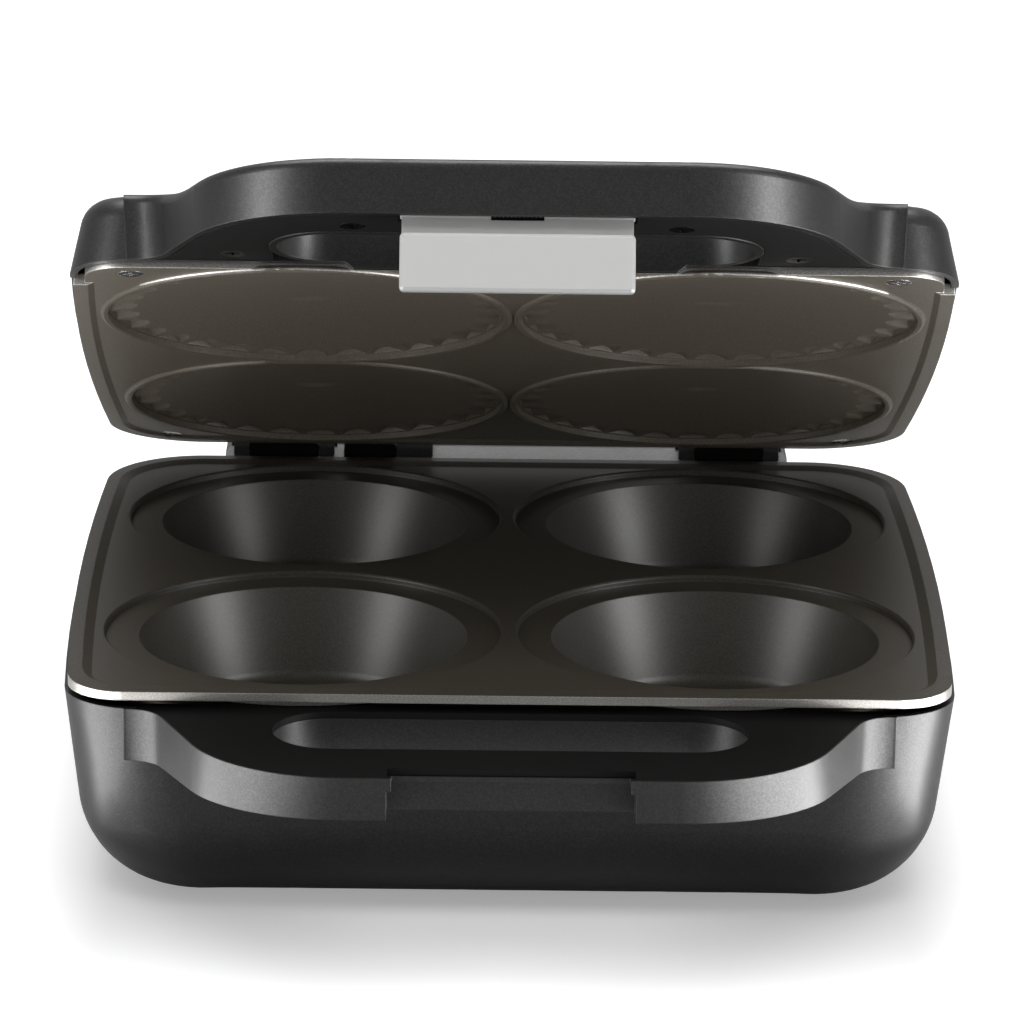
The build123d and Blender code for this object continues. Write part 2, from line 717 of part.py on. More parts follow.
def lid_housing():
    body = lid_body(0) + lid_handle_shape(0, 12)
    body -= lid_body(lid_wall)
    inner = lid_handle_shape(handle_wall, front_face + 1.0 + handle_wall)
    inner -= prism(stadium(handle_wall), -60, 60)
    body -= inner
    body -= prism(stadium(), -60, 60)
    # along the sides and the back the upper plate's edge covers the rim; in front it sits inside the wall
    body -= block(-200, 200, lid_border_start - plate_clearance, 400, -5, plate_edge + plate_clearance)
    body -= prism(lid_plan(lid_front_gap - lid_front_inset), -5, plate_edge + plate_clearance)
    # the wall behind the slot drops a little lower between its ends
    half, low = lid_skirt_half, -lid_skirt_drop
    pts = ((-half - lid_skirt_slope, lid_rim_z + 1), (-half - lid_skirt_slope, lid_rim_z), (-half, low))
    face = make_face(Polyline(*pts, *[(-x, z) for x, z in reversed(pts)], close=True))
    body += Pos(0, front_face + 2.2, 0) * extrude(Plane.XZ * face, 2.2)
    for x, y in cover_screw_spots():
        ceiling = lid_handle_top - 1
        body += rod(x, y, lid_cover_z + lid_cover_thickness, ceiling, post_radius)
        body -= rod(x, y, 0, ceiling - 3, screw_radius)
        sink = Cone(screw_head_radius, screw_radius, screw_head_height)
        body -= Pos(x, y, lid_cover_z + screw_head_height / 2) * sink
    for sx in (-1, 1):
        x0, x1 = sorted((sx * (tab_width / 2 + 0.8), sx * (tab_width / 2 + 4.8)))
        rib_front = -handle_reach + lid_handle_setback + 1
        body += block(x0, x1, rib_front, latch_y + 4, lid_cover_z + lid_cover_thickness + 0.1, lid_handle_top - 1)
        body -= crossbar(x0 + (1.5 if sx < 0 else -1), x1 + (1 if sx < 0 else -1.5), latch_y, latch_rise, latch_pin_radius)
    for x, y in plate_screw_points():
        low = plate_edge + 0.02
        body += rod(x, y, low, 26, screw_post_radius) & crown(lid_wall / 2)
        body -= rod(x, y, -1, 16, screw_radius)
    body += block(-22, 22, lens_y - 8, lens_y + 8, lens_seat_z, 30) & crown(lid_wall / 2)
    for sx in (-1, 1):
        body -= rod(sx * lens_spacing / 2, lens_y, 10, 40, lens_radius)
    for x0, x1 in knuckle_spans() + [lead_span()]:
        arm = crossbar(x0, x1, hinge_y, lid_axis_z, knuckle_radius)
        near, ledge = plate_depth - lid_plate_inset + plate_clearance, plate_edge + plate_clearance
        pts = ((near, -0.3), (hinge_y - 2.4, lid_axis_z - 5.3), (hinge_y, lid_axis_z),
               (hinge_y + 2.6, lid_axis_z + 5.3), (near - 2.6, arm_top), (near - 1, ledge), (near, ledge))
        arm += Pos(x0, 0, 0) * extrude(Plane.YZ * make_face(Polyline(*pts, close=True)), x1 - x0)
        body += arm
    for x0, x1 in knuckle_spans():
        body -= crossbar(x0 - 1, x1 + 1, hinge_y, lid_axis_z, pin_radius + pin_clearance + bush_wall)
    x0, x1 = lead_span()
    body -= crossbar(x0 + 3, x1 + 1, hinge_y, lid_axis_z, lead_sleeve_radius + lead_play)
    x = lead_turn_x()
    body -= bar((x, hinge_y, lid_axis_z), (x, lead_exit_y, lead_exit_z), lead_sleeve_radius)
    return body


def lead_turn_x():
    return lead_span()[0] + 3 + lead_sleeve_radius


def bar(a, b, radius):
    # straight round bar between two points
    start, end = Vector(*a), Vector(*b)
    run = end - start
    return Plane(origin=start, z_dir=run) * Pos(0, 0, run.length / 2) * Cylinder(radius, run.length)


def wire(points, radius):
    body = bar(points[0], points[1], radius)
    for a, b in zip(points[1:], points[2:]):
        body += Pos(*a) * Sphere(radius)
        body += bar(a, b, radius)
    return body


def cover_screw_spots():
    return [(sx * x, y) for x, y in handle_screw_points for sx in (-1, 1)]


def lid_handle_cover():
    reach = handle_reach - lid_handle_setback
    face = offset(handle_plan(reach, front_face + lid_wall + 8), -lid_cover_inset)
    face &= Pos(0, front_face - 99.5) * Rectangle(400, 200)
    face -= stadium(handle_wall + cover_clearance)
    half = slot_half + 1.5
    face -= Pos(0, slot_y + 20) * Rectangle(2 * half, 40)
    opening = tab_width / 2 + 0.6
    face -= Pos(0, -reach + 3.4 + 2) * Rectangle(2 * opening, 2 * 5.5)
    z0 = lid_cover_z
    body = prism(face, z0, z0 + lid_cover_thickness)
    for x, y in cover_screw_spots():
        body -= Pos(x, y, z0 + screw_head_height / 2) * Cone(screw_head_radius + 0.1, screw_radius + 0.1, screw_head_height)
        body -= rod(x, y, -1, 5, screw_radius + 0.1)
    return body


# ---- hinge

def hinge_pins():
    pins = []
    for x0, x1 in knuckle_spans():
        reach = hinge_play + ear_width - 0.2
        pins.append(crossbar(x0 - reach, x1 + reach, hinge_y, hinge_height, pin_radius))
    return pins


def hinge_bushes():
    bushes = []
    for x0, x1 in knuckle_spans():
        tube = crossbar(x0 - 0.1, x1 + 0.1, hinge_y, lid_axis_z, pin_radius + pin_clearance + bush_wall)
        tube -= crossbar(x0 - 1, x1 + 1, hinge_y, lid_axis_z, pin_radius + pin_clearance)
        bushes.append(tube)
    return bushes


def lead_sleeve():
    x0, x1 = lead_span()[1] - 8, lead_span()[1] + hinge_play + 4
    tube = crossbar(x0, x1, hinge_y, hinge_height, lead_sleeve_radius)
    return tube - crossbar(x0 - 1, x1 + 1, hinge_y, hinge_height, lead_sleeve_radius - lead_sleeve_wall)


# ---- latch, drawn shut

def latch_tab():
    half = tab_width / 2
    front = -handle_reach + lid_handle_setback
    slab = block(-half, half, front, front + tab_slab, -tab_drop, -tab_step)
    slab = fillet(slab.edges().filter_by(Axis.Y), tab_corner)
    low_front = slab.edges().filter_by(Axis.X).group_by(Axis.Z)[0].sort_by(Axis.Y)[0]
    slab = chamfer(low_front, 0.9)
    side = half - tab_neck_inset
    web = block(-side, side, front + 1.5, latch_y + tab_neck / 2, -tab_step - 2.2, -tab_step)
    neck = block(-side, side, latch_y - tab_neck / 2, latch_y + tab_neck / 2, -tab_step - 1, latch_rise)
    barrel = crossbar(-half, half, latch_y, latch_rise, latch_barrel)
    hook = block(-half + 5, half - 5, front + 1.5, hook_tip_y, -hook_drop - hook_height, -hook_drop)
    low_back = hook.edges().filter_by(Axis.X).group_by(Axis.Z)[0].sort_by(Axis.Y)[-1]
    hook = chamfer(low_back, 2.0)
    body = slab + web + neck + barrel + hook
    body -= crossbar(-half - 1, half + 1, latch_y, latch_rise, latch_pin_radius + latch_play)
    gap = block(-spring_gap_half, spring_gap_half, latch_y - 6, latch_y + 6, latch_rise - latch_barrel - 0.4, 20)
    return body - gap


def latch_pin():
    half = tab_width / 2 + 0.8 + 2.5
    return crossbar(-half, half, latch_y, latch_rise, latch_pin_radius)


def latch_spring():
    pitch = 2 * (spring_gap_half - 1.2) / spring_turns
    radius = latch_pin_radius + 0.35 + spring_wire
    coil = Helix(pitch, pitch * spring_turns, radius)
    section = Plane(origin=coil @ 0, z_dir=coil % 0) * Circle(spring_wire)
    body = sweep(section, path=coil)
    return Pos(-spring_gap_half + 1.2, latch_y, latch_rise) * Rot(0, 90, 0) * body


# ---- fasteners

def lower_plate_screws():
    return [long_screw(x, y, -base_height + 8, -tie_joint_drop + 12) for x, y in tie_points()]


def long_screw(x, y, seat_z, tip_z):
    # pan head below the seat, shank up to the tip
    head = rod(x, y, seat_z - pan_head_height, seat_z, screw_head_radius)
    head = fillet(head.edges().group_by(Axis.Z)[0], 1.0)
    head -= Pos(x, y, seat_z - pan_head_height) * (Box(0.9, 4.4, 2.0) + Box(4.4, 0.9, 2.0))
    return head + rod(x, y, seat_z - 0.5, tip_z, screw_radius)


# ---- heating, control and wiring inside

def element_loop(z, up, length):
    # round-cornered loop of tube round the wells, open at the back with two terminal legs
    c = element_corner
    b = element_bend
    x, y0, y1, e = element_half_x, element_front_y, element_back_y, element_end_x
    slant = sin(pi / 4)
    half = [
        Line((0, y0, z), (x - c, y0, z)),
        ThreePointArc((x - c, y0, z), (x - c + c * slant, y0 + c - c * slant, z), (x, y0 + c, z)),
        Line((x, y0 + c, z), (x, y1 - c, z)),
        ThreePointArc((x, y1 - c, z), (x - c + c * slant, y1 - c + c * slant, z), (x - c, y1, z)),
        Line((x - c, y1, z), (e + b, y1, z)),
        ThreePointArc((e + b, y1, z), (e + b - b * slant, y1, z + up * b * (1 - slant)), (e, y1, z + up * b)),
        Line((e, y1, z + up * b), (e, y1, z + up * length)),
    ]
    path = Wire(half)
    section = Plane(origin=(0, y0, z), z_dir=(1, 0, 0)) * Circle(element_radius)
    body = sweep(section, path=path)
    return body + mirror(body, about=Plane.YZ)




def element_saddles(z, plate_z):
    # cast pads that carry the element under the plate
    pads = []
    for sx in (-1, 1):
        for y in (50, well_mid_y, 220):
            pads.append(saddle(sx * element_half_x, y, z, plate_z, 6, 12))
        for y in (element_front_y, element_back_y):
            pads.append(saddle(sx * 66, y, z, plate_z, 12, 5))
    return pads


def saddle(x, y, z, plate_z, sx, sy):
    z0, z1 = sorted((z, plate_z))
    return block(x - sx / 2, x + sx / 2, y - sy / 2, y + sy / 2, z0, z1)


def reflector(half_x, y0, y1, z, rise, points, hole):
    # sheet tray with turned rims
    t = reflector_thickness
    outer = fillet((Pos(0, (y0 + y1) / 2) * Rectangle(2 * half_x, y1 - y0)).vertices(), 12)
    body = prism(outer, z, z + t)
    rim = outer - offset(outer, -t)
    z0, z1 = sorted((z, z + rise))
    body += prism(rim, z0, z1)
    for x, y in points:
        body -= rod(x, y, z - 2, z + 3, hole)
    return body


def sheet_screws(points, seat_z, up):
    # small pan head screws holding a sheet to its posts
    out = []
    for x, y in points:
        z0, z1 = (seat_z, seat_z + 1.6) if up > 0 else (seat_z - 1.6, seat_z)
        head = rod(x, y, z0, z1, 2.6)
        tip = (seat_z - 6, seat_z + 0.2) if up > 0 else (seat_z - 0.2, seat_z + 6)
        out.append(head + rod(x, y, tip[0], tip[1], 1.2))
    return out


def bottom_cover():
    gap = 0.3
    x, y0, y1 = cover_plate_half_x - gap, cover_plate_front_y + gap, cover_plate_back_y - gap
    z0 = -base_height
    body = block(-x, x, y0, y1, z0, z0 + cover_plate_thickness * 0.5)
    inner = block(-x + 6, x - 6, y0 + 6, y1 - 6, z0, z0 + cover_plate_thickness)
    body += inner
    for i in range(vent_count):
        y = well_mid_y + (i - (vent_count - 1) / 2) * 2.4 * vent_width
        slot = Pos(0, y) * SlotOverall(vent_length, vent_width)
        body -= prism(slot, z0 - 1, z0 + 5)
    for px, py in cover_screw_points():
        body -= Pos(px, py, z0 + 0.5) * Cone(3.1, 1.6, 1.0)
        body -= rod(px, py, z0 - 1, z0 + 4, 1.6)
    return body


def bottom_screws():
    out = []
    for x, y in cover_screw_points():
        z0 = -base_height
        head = Pos(x, y, z0 + 0.5) * Cone(3.0, 1.4, 1.0)
        body = head + rod(x, y, z0, z0 + 8, 1.4)
        body -= Pos(x, y, z0) * (Box(0.7, 3.2, 1.0) + Box(3.2, 0.7, 1.0))
        out.append(body)
    return out


def rubber_feet():
    feet = []
    for x, y in foot_points():
        low = -base_height - foot_stand
        pad = rod(x, y, low, -base_height, foot_radius)
        pad = fillet(pad.edges().group_by(Axis.Z)[0], 0.8)
        stem = rod(x, y, -base_height, -base_height + wall + 0.1, foot_stem_radius)
        barb = Pos(x, y, -base_height + wall + 0.1 + 1.5) * Cone(foot_stem_radius + 1, foot_stem_radius - 1, 3)
        feet.append(pad + stem + barb)
    return feet


def cord_gland():
    y1 = rear_wall_y(-gland_drop)
    body = Pos(gland_x, y1 - 1, -gland_drop) * Rot(90, 0, 0) * Cylinder(gland_radius, 10)
    flange = Pos(gland_x, y1 + 2.2, -gland_drop) * Rot(90, 0, 0) * Cylinder(gland_radius + 2.5, 2.4)
    collar = Pos(gland_x, y1 - wall - 2.6, -gland_drop) * Rot(90, 0, 0) * Cylinder(gland_radius + 1.6, 2.4)
    body = body + flange + collar
    return body - Pos(gland_x, y1, -gland_drop) * Rot(90, 0, 0) * Cylinder(gland_bore, 40)


def rear_wall_y(z):
    # outer face of the drafted rear wall at a given height, above the bottom fillet
    return housing_back + (z - housing_top) * rad_draft


def thermostat():
    # disc thermostat on a strap against the underside of the lower plate
    y, z = well_mid_y, -plate_edge
    body = block(-17, 17, y - 5, y + 5, z - 0.8, z)
    body += rod(0, y, z - 8.5, z - 0.8, thermostat_radius)
    for sx in (-1, 1):
        body += block(sx * 5 - 1.6, sx * 5 + 1.6, y - 0.4, y + 0.4, z - 14, z - 8)
    return body


def thermal_fuse():
    y, z = well_mid_y + 24, -plate_edge - 2.0
    return crossbar(-9, 9, y, z, 2.0) + crossbar(-14, 14, y, z, 0.6)


def terminal_block():
    floor = -base_height + wall
    body = block(-18, 18, terminal_y - 6, terminal_y + 6, floor, floor + 11)
    for i in (-1.5, -0.5, 0.5, 1.5):
        x = i * terminal_pitch
        body -= rod(x, terminal_y, floor + 5, floor + 12, 2.4)
        body -= Pos(x, terminal_y + 5, floor + 4) * Rot(90, 0, 0) * Cylinder(1.7, 14)
    return body


def base_wiring():
    floor = -base_height + wall
    z = floor + 4
    y = terminal_y + 6
    end = -element_leg + lower_element_z
    thermo_z = -plate_edge - 14
    wires = []
    for sx in (-1, 1):
        x = sx * 1.5 * terminal_pitch
        wires.append(wire([(x, y - 4, z), (x, y + 4, z), (sx * element_end_x, y + 12, z + 12),
                           (sx * element_end_x, element_back_y, end - 8), (sx * element_end_x, element_back_y, end)],
                          wire_radius))
    x = terminal_pitch / 2
    wires.append(wire([(x, y - 4, z), (x, y + 2, z), (x + 6, y + 7, z + 14), (x + 6, y + 7, -30),
                       (8, y - 30, -22), (5, well_mid_y, thermo_z - 6), (5, well_mid_y, thermo_z)], wire_radius))
    wires.append(wire([(-x, y - 4, z), (-x, y + 2, z), (lead_drop_x(), hinge_y - 8, z + 16),
                       (lead_drop_x(), hinge_y, -30), (lead_drop_x(), hinge_y, hinge_height),
                       (lead_span()[1] - 7.5, hinge_y, hinge_height)], lead_radius - 0.6))
    return wires


def lid_wiring():
    x = lead_turn_x()
    end = upper_element_z + lid_element_leg
    back = element_back_y
    lead = wire([(lead_span()[1] - 8.5, hinge_y, lid_axis_z), (x, hinge_y, lid_axis_z), (x, lead_exit_y, lead_exit_z),
                 (x + 8, back - 1, end + 2.8), (-element_end_x, back, end + 3.2), (-element_end_x, back, end)], lead_radius - 0.6)
    loop = wire([(element_end_x, back, end), (element_end_x, back, end + 3.2), (element_end_x - 4, back - 8, end + 4),
                 (-30, back - 8, end + 4), (-44, back - 6, end + 4)], wire_radius)
    lamps = wire([(-46, back - 12, end + 4), (-34, well_mid_y, end + 7.5), (-10, 42, end + 5.5),
                  (-7, 31, lens_seat_z - 6.5), (-7, lens_y + 5.1, lens_seat_z - 6.5)], 0.9)
    return [lead, loop, lamps]


def lens(side):
    x = side * lens_spacing / 2
    body = rod(x, lens_y, lens_seat_z, 28.4, lens_radius - 0.05)
    body = fillet(body.edges().group_by(Axis.Z)[-1], 1.4)
    return body + rod(x, lens_y, lens_seat_z - 1.4, lens_seat_z, lens_radius + 1.1)


def lamp_holder():
    z1 = lens_seat_z
    body = block(-19, 19, lens_y - 5, lens_y + 5, z1 - 7.5, z1 - 5.5)
    for sx in (-1, 1):
        body += block(sx * 17.75 - 1.25, sx * 17.75 + 1.25, lens_y - 5, lens_y + 5, z1 - 6.5, z1)
    return body


def indicator_lamps():
    lamps = []
    for sx in (-1, 1):
        lamp = rod(sx * lens_spacing / 2, lens_y, lens_seat_z - 5.5, lens_seat_z - 1.9, 2.2)
        lamps.append(fillet(lamp.edges().group_by(Axis.Z)[-1], 1.2))
    return lamps


# ---- placing and writing

def base_place(shape):
    # origin on the table, under the middle of the footprint
    return Pos(0, -middle_y, base_height + foot_stand) * shape


def lid_place(shape):
    closed = Pos(0, -hinge_y, lid_rise - hinge_height) * shape
    return base_place(Pos(0, hinge_y, hinge_height) * Rot(-rest_opening, 0, 0) * closed)


def save(name, shape, place):
    bodies = shape if isinstance(shape, list) else [shape]
    placed = [place(body) for body in bodies]
    out = placed[0] if len(placed) == 1 else Compound(children=placed)
    export_step(out, f"parts/{name}.step")


t = reflector_thickness
reflector_low = -reflector_drop - t
base_nodes = {
    "base_housing": base_housing(),
    "base_handle_cover": base_handle_cover(),
    "base_handle_screws": [long_screw(x, y, handle_low(y) + handle_screw_sink, -9) for x, y in base_post_points()],
    "lower_cooking_plate": lower_plate(),
    "lower_plate_screws": lower_plate_screws(),
    "lower_heating_element": element_loop(lower_element_z, -1, element_leg),
    "lower_reflector": reflector(reflector_half_x, 52, 246, reflector_low, 6, reflector_post_points(), 1.4),
    "lower_reflector_screws": sheet_screws(reflector_post_points(), -reflector_drop, 1),
    "thermostat": thermostat(),
    "thermal_fuse": thermal_fuse(),
    "terminal_block": terminal_block(),
    "base_wiring": base_wiring(),
    "bottom_cover": bottom_cover(),
    "bottom_cover_screws": bottom_screws(),
    "rubber_feet": rubber_feet(),
    "cord_gland": cord_gland(),
    "hinge_pins": hinge_pins(),
    "lead_sleeve": lead_sleeve(),
}
lid_nodes = {
    "lid_housing": lid_housing(),
    "lid_handle_cover": lid_handle_cover(),
    "lid_handle_screws": [screw(x, y, lid_cover_z, 11) for x, y in cover_screw_spots()],
    "upper_cooking_plate": upper_plate(),
    "upper_plate_screws": [screw(x, y, 0, 14) for x, y in plate_screw_points()],
    "upper_heating_element": element_loop(upper_element_z, 1, lid_element_leg),
    "upper_reflector": reflector(lid_reflector_half_x, 40, 240, lid_reflector_rise, -4, reflector_points(), 1.4),
    "upper_reflector_screws": sheet_screws(reflector_points(), lid_reflector_rise + t, 1),
    "hinge_bushes": hinge_bushes(),
    "power_lens": lens(-1),
    "ready_lens": lens(1),
    "lamp_holder": lamp_holder(),
    "indicator_lamps": indicator_lamps(),
    "lid_wiring": lid_wiring(),
    "latch_pin": latch_pin(),
    "latch_spring": latch_spring(),
    "latch_tab": latch_tab(),
}

footprint = base_nodes["base_housing"].bounding_box()
middle_y = (footprint.min.Y + footprint.max.Y) / 2
for name, shape in base_nodes.items():
    save(name, shape, base_place)
for name, shape in lid_nodes.items():
    save(name, shape, lid_place)
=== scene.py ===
import bpy
import json
import math
from mathutils import Matrix, Vector


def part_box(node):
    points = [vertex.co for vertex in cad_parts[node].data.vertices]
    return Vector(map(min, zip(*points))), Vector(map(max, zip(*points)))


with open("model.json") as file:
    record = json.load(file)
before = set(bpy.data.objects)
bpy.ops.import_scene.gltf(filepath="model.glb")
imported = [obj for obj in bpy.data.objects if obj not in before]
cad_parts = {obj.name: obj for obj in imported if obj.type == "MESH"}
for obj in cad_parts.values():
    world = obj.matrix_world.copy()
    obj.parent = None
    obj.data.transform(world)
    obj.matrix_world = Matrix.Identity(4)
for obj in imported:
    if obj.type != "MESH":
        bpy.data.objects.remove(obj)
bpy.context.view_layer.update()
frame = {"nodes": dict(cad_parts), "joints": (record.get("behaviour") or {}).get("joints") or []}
lidHinge = next(joint for joint in frame["joints"] if joint["name"] == "lid_hinge")
mm = 0.001
print("frame loaded:", len(frame["nodes"]), "nodes")


def linear(hexColour, share=1.0):
    # sRGB hex to the linear colour that a socket holds; a share under 1 makes it darker
    parts = [int(hexColour[i:i + 2], 16) / 255 for i in (1, 3, 5)]
    curve = [p / 12.92 if p <= 0.04045 else ((p + 0.055) / 1.055) ** 2.4 for p in parts]
    return [c * share for c in curve] + [1.0]


def addNode(tree, kind, inputs=None, **settings):
    # one shader node with its settings; an input is a plain value, a socket, or a node's first output
    made = tree.nodes.new("ShaderNode" + kind)
    for name, value in settings.items():
        setattr(made, name, value)
    for name, value in (inputs or {}).items():
        if isinstance(value, bpy.types.Node):
            value = value.outputs[0]
        if isinstance(value, bpy.types.NodeSocket):
            tree.links.new(value, made.inputs[name])
        else:
            made.inputs[name].default_value = value
    return made


def newMaterial(name):
    made = bpy.data.materials.new(name)
    made.use_nodes = True
    made.node_tree.nodes.clear()
    return made, made.node_tree


def dress(material, *nodeNames):
    # every slot of the named CAD parts takes the material
    for name in nodeNames:
        for slot in frame["nodes"][name].material_slots:
            slot.material = material


cameraSet = {  # lens and sensor are in mm, the nearest and furthest things seen in metres
    "place": Vector((-15.4, -1715.8, 595.8)) * mm,
    "target": Vector((1.0, 21.6, 95.8)) * mm,
    "lens": 189.7,
    "sensor": 36,
    "roll": math.radians(0.795),
    "nearest": 0.05,
    "furthest": 60,
}


def makeCamera(values):
    data = bpy.data.cameras.new("studioCamera")
    data.lens = values["lens"]
    data.sensor_width = values["sensor"]
    data.clip_start = values["nearest"]
    data.clip_end = values["furthest"]
    camera = bpy.data.objects.new("studioCamera", data)
    forward = (values["target"] - values["place"]).normalized()
    right = forward.cross(Vector((0, 0, 1))).normalized()
    up = right.cross(forward)
    turn = values["roll"]
    xAxis = right * math.cos(turn) + up * math.sin(turn)
    yAxis = up * math.cos(turn) - right * math.sin(turn)
    axes = Matrix((xAxis, yAxis, -forward)).transposed()
    camera.matrix_world = Matrix.Translation(values["place"]) @ axes.to_4x4()
    bpy.context.collection.objects.link(camera)
    bpy.context.scene.camera = camera


makeCamera(cameraSet)
bpy.context.scene.view_settings.view_transform = "Standard"
print("camera placed")

floorSet = {
    "size": 12.0,
    "colour": "#E2E2E2",
    "roughness": 0.32,
    "glow": 0.68,  # added for the camera alone, so the board looks white and keeps the shadow
    "paintedReflectionGlow": 0.32,  # the same, lower under and round the base: a painted reflection and shadow of the base
    "paintedReflectionReach": (0.11, 0.2),  # metres to the front and back: where that spot starts to fade and ends
    "paintedReflectionSide": (0.125, 0.165),  # the same to the left and right
}


def makeFloor(values):
    # pale studio board with a slight gloss
    half = values["size"] / 2
    corners = [(-half, -half, 0), (half, -half, 0), (half, half, 0), (-half, half, 0)]
    mesh = bpy.data.meshes.new("studioFloor")
    mesh.from_pydata(corners, [], [(0, 1, 2, 3)])
    floor = bpy.data.objects.new("studioFloor", mesh)
    bpy.context.collection.objects.link(floor)
    material, tree = newMaterial("whiteStudioBoard")
    where = addNode(tree, "TexCoord")
    spot = addNode(tree, "SeparateXYZ", {0: where.outputs["Object"]})
    # the camera-only glow dims in a soft spot under and round the base: a painted reflection and shadow of
    # the base on the board
    fades = []
    for axis, reach in ((1, "paintedReflectionReach"), (0, "paintedReflectionSide")):
        full, gone = values[reach]
        away = addNode(tree, "Math", {0: spot.outputs[axis]}, operation="ABSOLUTE")
        fade = {"Value": away, "From Min": gone, "From Max": full}
        fades.append(addNode(tree, "MapRange", fade, interpolation_type="SMOOTHSTEP"))
    paintedReflectionSpot = addNode(tree, "Math", {0: fades[0], 1: fades[1]}, operation="MULTIPLY")
    strength = addNode(tree, "MapRange", {
        "Value": paintedReflectionSpot, "To Min": values["glow"], "To Max": values["paintedReflectionGlow"]})
    glow = addNode(tree, "Emission", {"Color": (1, 1, 1, 1), "Strength": strength})
    dark = addNode(tree, "Emission", {"Strength": 0.0})
    path = addNode(tree, "LightPath")
    lit = addNode(tree, "MixShader", {0: path.outputs["Is Camera Ray"], 1: dark, 2: glow})
    board = addNode(tree, "BsdfPrincipled", {
        "Base Color": linear(values["colour"]), "Roughness": values["roughness"]})
    both = addNode(tree, "AddShader", {0: board, 1: lit})
    addNode(tree, "OutputMaterial", {"Surface": both})
    mesh.materials.append(material)


makeFloor(floorSet)

lightSet = {
    "worldFill": 0.5,
    "lamps": [
        # name, place, point it faces, width and height, watts, the kind of ray that sees it
        ("fillBox", (0, -0.9, 2.3), (0, 0, 0.1), (2.4, 1.8), 32, "diffuse"),
        ("leftStrip", (-1.45, -0.7, 0.7), (0, 0, 0.1), (0.5, 1.1), 29, "glossy"),
        ("rightStrip", (1.45, -0.7, 0.7), (0, 0, 0.1), (0.5, 1.1), 40, "glossy"),
        ("leftCard", (-0.57, -0.36, 0.004), (-0.57, -0.36, 1), (0.8, 0.56), 13, "glossy"),
        ("rightCard", (0.57, -0.36, 0.004), (0.57, -0.36, 1), (0.8, 0.56), 23, "glossy"),
        ("backBox", (0, 0.7, 1.7), (0, 0, 0.1), (1.6, 1.0), 34, "glossy"),
    ],
}


def makeWorld(values):
    # an even fill on the object, and white where the camera or a clear lens looks past it
    world = bpy.data.worlds.new("studioWorld")
    world.use_nodes = True
    tree = world.node_tree
    tree.nodes.clear()
    path = addNode(tree, "LightPath")
    fill = addNode(tree, "Background", {"Color": (1, 1, 1, 1), "Strength": values["worldFill"]})
    white = addNode(tree, "Background", {"Color": (1, 1, 1, 1), "Strength": 1.0})
    through = addNode(tree, "Math", {
        0: path.outputs["Is Camera Ray"], 1: path.outputs["Is Transmission Ray"]}, operation="MAXIMUM")
    lit = addNode(tree, "MixShader", {0: through, 1: fill, 2: white})
    addNode(tree, "OutputWorld", {"Surface": lit})
    bpy.context.scene.world = world


def makeLamps(values):
    for name, place, target, size, watts, seenBy in values["lamps"]:
        lamp = bpy.data.lights.new(name, "AREA")
        lamp.shape = "RECTANGLE"
        lamp.size, lamp.size_y = size
        lamp.energy = watts
        holder = bpy.data.objects.new(name, lamp)
        turn = (Vector(target) - Vector(place)).to_track_quat("-Z", "Y")
        holder.matrix_world = Matrix.Translation(place) @ turn.to_matrix().to_4x4()
        holder.visible_camera = False
        holder.visible_diffuse = seenBy == "diffuse"
        holder.visible_glossy = seenBy == "glossy"
        bpy.context.collection.objects.link(holder)


makeWorld(lightSet)
makeLamps(lightSet)
print("studio lit")

shellSet = {
    "dark": "#252525",
    "light": "#323232",
    "flake": 0.34 * mm,  # real flakes are about 0.05 mm, too fine to show
    "darkShare": 0.35,  # this share of the flakes stays dark
    "flakeTilt": 0.45,
    "flakeHeight": 0.03 * mm,
    "cloud": 14 * mm,  # uneven spraying changes the roughness over about this width
    "metallic": 0.75,
    "roughness": 0.4,
    "roughnessSpread": 0.03,
    "clearCoat": 0.12,
    "clearCoatRoughness": 0.3,
    "edgeRound": 0.5 * mm,
}


def makeShell(values):
    # ABS sprayed with charcoal metallic lacquer: dark, a broad soft shine, fine light flakes
    material, tree = newMaterial("charcoalMetallicLacquer")
    where = addNode(tree, "TexCoord").outputs["Object"]
    flakes = addNode(tree, "TexVoronoi", {"Vector": where, "Scale": 1 / values["flake"]})
    split = addNode(tree, "SeparateColor", {0: flakes.outputs["Color"]})
    share = addNode(tree, "MapRange", {"Value": split, "From Min": values["darkShare"], "From Max": 1.0})
    colour = addNode(tree, "Mix", {
        0: share, 6: linear(values["dark"]), 7: linear(values["light"])}, data_type="RGBA")
    cloud = addNode(tree, "TexNoise", {"Vector": where, "Scale": 1 / values["cloud"], "Detail": 2.0})
    rough = addNode(tree, "MapRange", {
        "Value": cloud, "To Min": values["roughness"] - values["roughnessSpread"],
        "To Max": values["roughness"] + values["roughnessSpread"]})
    edge = addNode(tree, "Bevel", {"Radius": values["edgeRound"]}, samples=4)
    bump = addNode(tree, "Bump", {
        "Strength": values["flakeTilt"], "Distance": values["flakeHeight"],
        "Height": split.outputs[1], "Normal": edge})
    paint = addNode(tree, "BsdfPrincipled", {
        "Base Color": colour.outputs[2], "Metallic": values["metallic"], "Roughness": rough, "Normal": bump,
        "Coat Weight": values["clearCoat"], "Coat Roughness": values["clearCoatRoughness"]})
    addNode(tree, "OutputMaterial", {"Surface": paint})
    return material


dress(makeShell(shellSet), "base_housing", "lid_housing")

coverSet = {  # deep black, nearly without shine
    "colour": "#040404",
    "grain": 0.3 * mm,  # a real spark grain is about 0.1 mm, too fine to show
    "grainDetail": 3.0,
    "relief": 0.3,
    "reliefHeight": 0.02 * mm,
    "roughness": 0.58,
    "roughnessSpread": 0.06,
    "specular": 0.1,
    "edgeRound": 0.4 * mm,
}

